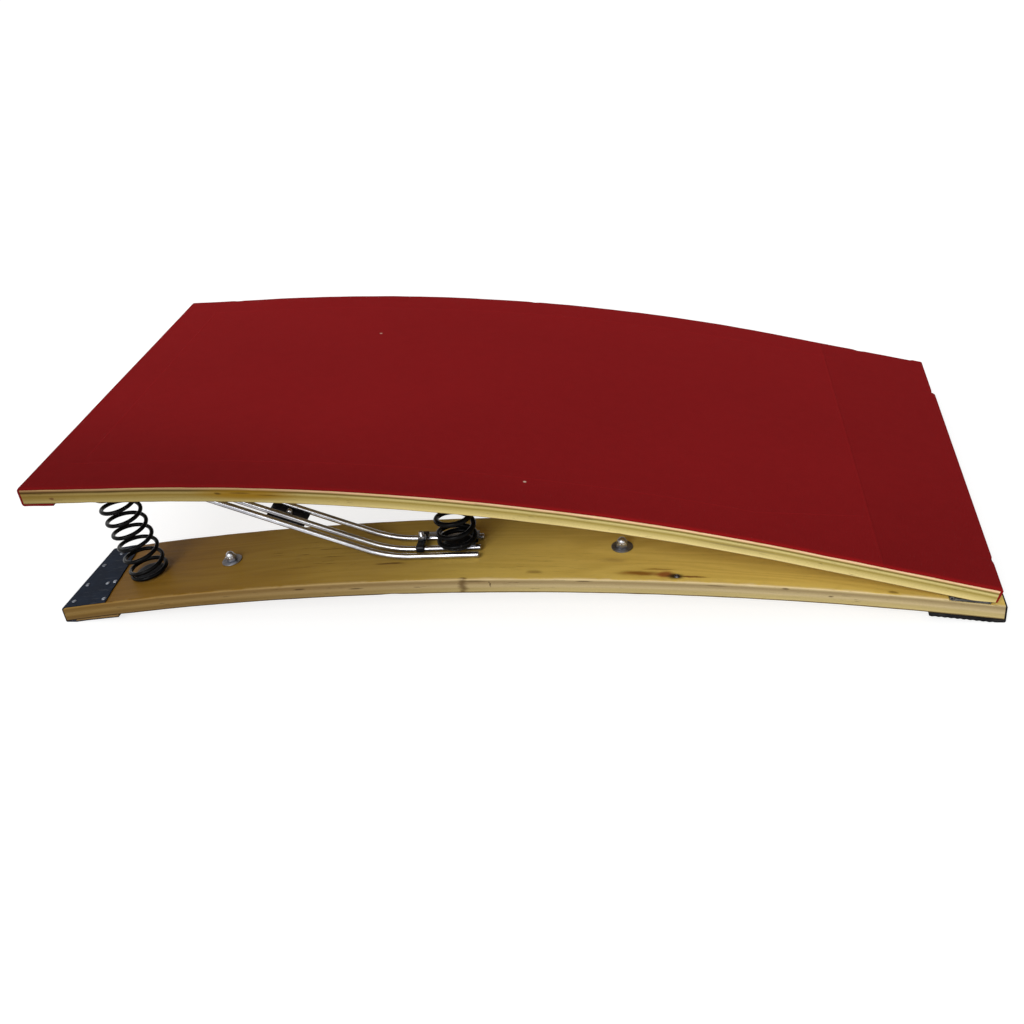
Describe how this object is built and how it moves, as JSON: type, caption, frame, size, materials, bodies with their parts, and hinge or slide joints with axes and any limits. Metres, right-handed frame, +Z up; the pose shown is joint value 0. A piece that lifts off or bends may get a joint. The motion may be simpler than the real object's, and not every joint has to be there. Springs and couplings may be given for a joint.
{
  "type": "gymnastics springboard",
  "caption": "Vaulting springboard: curved carpeted plywood deck hinged at its low end to arched runners, on coil springs and bent steel rods.",
  "frame": {"origin": "on the floor below the middle of the board: bottom centre of its bounding box", "axes": "+X along the board from its high front end to its low rear end, +Y to the right of someone facing the front end, +Z up"},
  "size_m": [1.1988, 0.6, 0.2112],
  "materials": {
    "deck_ply": "bare lacquered plywood edge, light plies with darker glue lines",
    "red_carpet": "dark red short-nap carpet",
    "runner_ply": "honey-coloured varnished plywood with knots and grain streaks",
    "packing_wood": "raw wood strip",
    "cap_rubber": "dark blue-grey matt cap, nailed on",
    "pad_rubber": "black matt rubber",
    "black_spring": "black lacquered spring steel",
    "polished_rod": "bright polished round bar",
    "zinc_plate": "zinc-plated, slightly blotchy",
    "dark_steel": "blackened steel",
    "bright_fastener": "bright plated nuts and bolts"
  },
  "bodies": {
    "base": {"runner_left": "runner_ply", "front_packing_left": "packing_wood", "front_cap_left": "cap_rubber", "rear_pad_left": "pad_rubber", "hinge_leaf_lower_left": "zinc_plate", "hinge_pin_left": "dark_steel", "bow_rod_outer_left": "polished_rod", "bow_rod_middle_left": "polished_rod", "bow_rod_inner_left": "polished_rod", "mid_spring_seat_left": "zinc_plate", "rod_clamp_left": "dark_steel", "clamp_bolt_left": "bright_fastener", "clamp_nut_left": "bright_fastener", "rod_tie_left": "dark_steel", "rod_tie_screw_left": "bright_fastener", "front_spring_left": "black_spring", "front_spring_foot_anchor_left": "dark_steel", "mid_spring_left": "black_spring", "mid_spring_anchor_left": "dark_steel", "front_bolt_left": "bright_fastener", "front_washer_left": "zinc_plate", "front_dome_nut_left": "bright_fastener", "rear_bolt_left": "bright_fastener", "rear_washer_left": "zinc_plate", "rear_dome_nut_left": "bright_fastener", "runner_right": "runner_ply", "front_packing_right": "packing_wood", "front_cap_right": "cap_rubber", "rear_pad_right": "pad_rubber", "hinge_leaf_lower_right": "zinc_plate", "hinge_pin_right": "dark_steel", "bow_rod_outer_right": "polished_rod", "bow_rod_middle_right": "polished_rod", "bow_rod_inner_right": "polished_rod", "mid_spring_seat_right": "zinc_plate", "rod_clamp_right": "dark_steel", "clamp_bolt_right": "bright_fastener", "clamp_nut_right": "bright_fastener", "rod_tie_right": "dark_steel", "rod_tie_screw_right": "bright_fastener", "front_spring_right": "black_spring", "front_spring_foot_anchor_right": "dark_steel", "mid_spring_right": "black_spring", "mid_spring_anchor_right": "dark_steel", "front_bolt_right": "bright_fastener", "front_washer_right": "zinc_plate", "front_dome_nut_right": "bright_fastener", "rear_bolt_right": "bright_fastener", "rear_washer_right": "zinc_plate", "rear_dome_nut_right": "bright_fastener"},
    "deck": {"deck_board": "deck_ply", "deck_carpet": "red_carpet", "hinge_leaf_upper_left": "zinc_plate", "front_spring_seat_left": "zinc_plate", "front_spring_head_anchor_left": "dark_steel", "hinge_leaf_upper_right": "zinc_plate", "front_spring_seat_right": "zinc_plate", "front_spring_head_anchor_right": "dark_steel"}
  },
  "joints": [
    {"name": "deck_hinge", "type": "hinge", "parent": "base", "child": "deck", "pos_m": [0.53764, 0, 0.03447], "axis": [0, -1, 0], "range_deg": [0, 3.3], "stiffness_Nm_per_rad": 60000, "springref_deg": -0.17, "deforming": ["bow_rod_outer_left", "bow_rod_middle_left", "bow_rod_inner_left", "rod_tie_left", "rod_tie_screw_left", "front_spring_left", "mid_spring_left", "bow_rod_outer_right", "bow_rod_middle_right", "bow_rod_inner_right", "rod_tie_right", "rod_tie_screw_right", "front_spring_right", "mid_spring_right"]}
  ]
}
